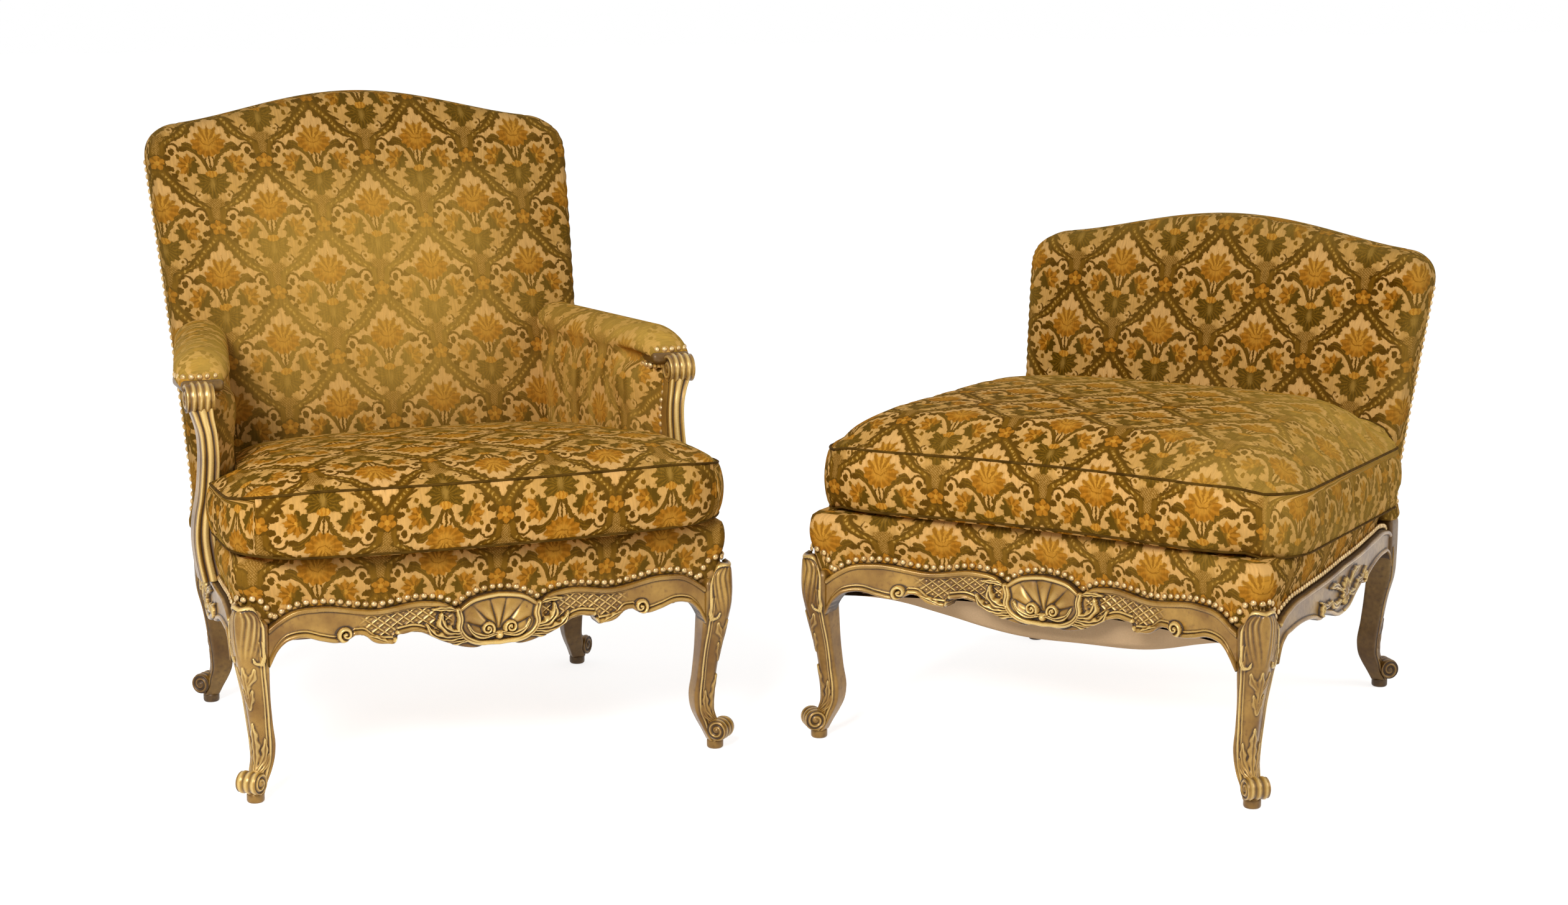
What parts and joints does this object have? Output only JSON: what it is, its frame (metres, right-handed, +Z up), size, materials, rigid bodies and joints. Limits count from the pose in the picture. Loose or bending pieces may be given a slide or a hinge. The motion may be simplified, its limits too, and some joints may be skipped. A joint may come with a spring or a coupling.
{
  "type": "duchesse brisee",
  "caption": "Giltwood chaise longue in two free-standing units: a closed-arm bergere and a long stool with a low padded back, stuffed seats with loose velvet cushions",
  "frame": {"origin": "middle of the pair's footprint box, on the floor", "axes": "+Z is up, the bergere faces -Y, and +X runs from the bergere towards the stool"},
  "size_m": [2.0978, 1.4796, 1.02],
  "materials": {
    "giltwood": "carved wood with worn gold leaf over red-brown ground",
    "frame_wood": "plain sawn beech, hidden under the covers",
    "velvet": "figured velvet, olive-brown lattice and gold flowers on a beige ground",
    "linen": "plain unbleached linen"
  },
  "bodies": {
    "bergere": {"bergere_arm_lining_left": "velvet", "bergere_arm_lining_right": "velvet", "bergere_arm_rail_left": "frame_wood", "bergere_arm_rail_right": "frame_wood", "bergere_arm_support_left": "giltwood", "bergere_arm_support_right": "giltwood", "bergere_arm_top_pad_left": "velvet", "bergere_arm_top_pad_right": "velvet", "bergere_back_pad": "velvet", "bergere_crest_rail": "frame_wood", "bergere_front_brace_left": "frame_wood", "bergere_front_brace_right": "frame_wood", "bergere_front_leg_left": "giltwood", "bergere_front_leg_right": "giltwood", "bergere_front_rail": "giltwood", "bergere_outside_arm_left": "velvet", "bergere_outside_arm_right": "velvet", "bergere_outside_back": "velvet", "bergere_rear_brace_left": "frame_wood", "bergere_rear_brace_right": "frame_wood", "bergere_rear_post_left": "giltwood", "bergere_rear_post_right": "giltwood", "bergere_rear_rail": "giltwood", "bergere_seat_deck": "velvet", "bergere_seat_webbing": "linen", "bergere_side_rail_left": "giltwood", "bergere_side_rail_right": "giltwood", "bergere_stay_rail": "frame_wood", "bergere_undercloth": "linen"},
    "bergere_cushion": {"bergere_cushion": "velvet"},
    "stool": {"stool_back_pad": "velvet", "stool_crest_rail": "frame_wood", "stool_front_brace_left": "frame_wood", "stool_front_brace_right": "frame_wood", "stool_front_leg_left": "giltwood", "stool_front_leg_right": "giltwood", "stool_front_rail": "giltwood", "stool_outside_back": "velvet", "stool_rear_brace_left": "frame_wood", "stool_rear_brace_right": "frame_wood", "stool_rear_post_left": "giltwood", "stool_rear_post_right": "giltwood", "stool_rear_rail": "giltwood", "stool_seat_deck": "velvet", "stool_seat_webbing": "linen", "stool_side_rail_left": "giltwood", "stool_side_rail_right": "giltwood", "stool_stay_rail": "frame_wood", "stool_undercloth": "linen"},
    "stool_cushion": {"stool_cushion": "velvet"}
  },
  "joints": [
    {"name": "stool_swing", "type": "hinge", "parent": "bergere", "child": "stool", "pos_m": [-0.19366, -0.11304, 0], "axis": [0, 0, 1], "range_deg": [-127.8, 20]},
    {"name": "bergere_cushion_lift", "type": "slide", "parent": "bergere", "child": "bergere_cushion", "axis": [0, 0, 1], "range_m": [0, 0.3]},
    {"name": "stool_cushion_lift", "type": "slide", "parent": "stool", "child": "stool_cushion", "axis": [0, 0, 1], "range_m": [0, 0.3]}
  ]
}
